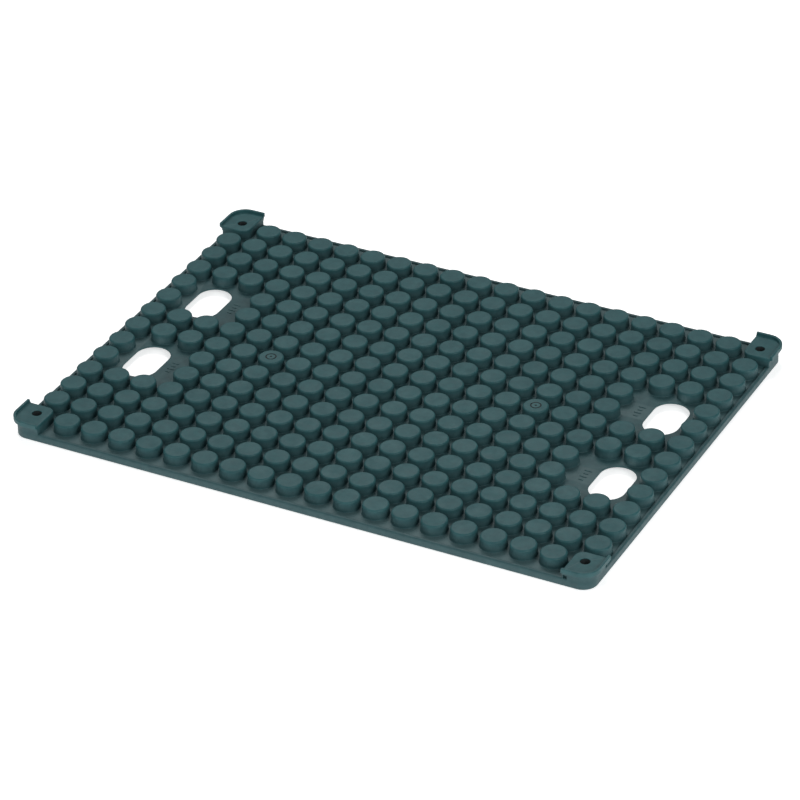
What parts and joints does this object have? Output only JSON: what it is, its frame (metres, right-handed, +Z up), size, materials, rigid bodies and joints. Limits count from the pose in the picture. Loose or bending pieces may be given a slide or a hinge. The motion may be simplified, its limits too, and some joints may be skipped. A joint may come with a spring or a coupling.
{
  "type": "seedling heat mat",
  "caption": "Rigid studded base plate for seed trays, with a sealed heater underneath, finger cut-outs and lipped corner lugs for stacking.",
  "frame": {"origin": "on the bench, under the middle of the mat", "axes": "+X along the long side, +Y along the short side towards the edge with the cord inlet, +Z up"},
  "size_m": [0.5712, 0.4202, 0.0194],
  "materials": {
    "plate_plastic": "moulded, semi-matte",
    "cover_plastic": "matte sheet",
    "seal_foam": "closed-cell foam",
    "spreader_aluminium": "rolled sheet",
    "insulation_felt": "needled felt",
    "cable_silicone": "silicone sheath",
    "sensor_case": "moulded case",
    "silicone_rubber": "translucent silicone",
    "crimp_brass": "drawn",
    "splice_sleeve": "shrunk sleeve",
    "grommet_rubber": "matte",
    "screw_steel": "zinc plated",
    "foot_rubber": "matte"
  },
  "bodies": {
    "root": {"studded_top_plate": "plate_plastic", "bottom_cover": "cover_plastic", "perimeter_seal": "seal_foam", "window_seals": "seal_foam", "heat_spreader_sheet": "spreader_aluminium", "insulation_sheet": "insulation_felt", "heating_cable": "cable_silicone", "control_thermostat": "sensor_case", "safety_cutout": "sensor_case", "sensor_plugs": "silicone_rubber", "crimp_joints": "crimp_brass", "supply_splices": "splice_sleeve", "cord_inlet_grommet": "grommet_rubber", "cover_screws": "screw_steel", "rubber_feet": "foot_rubber"}
  },
  "joints": []
}
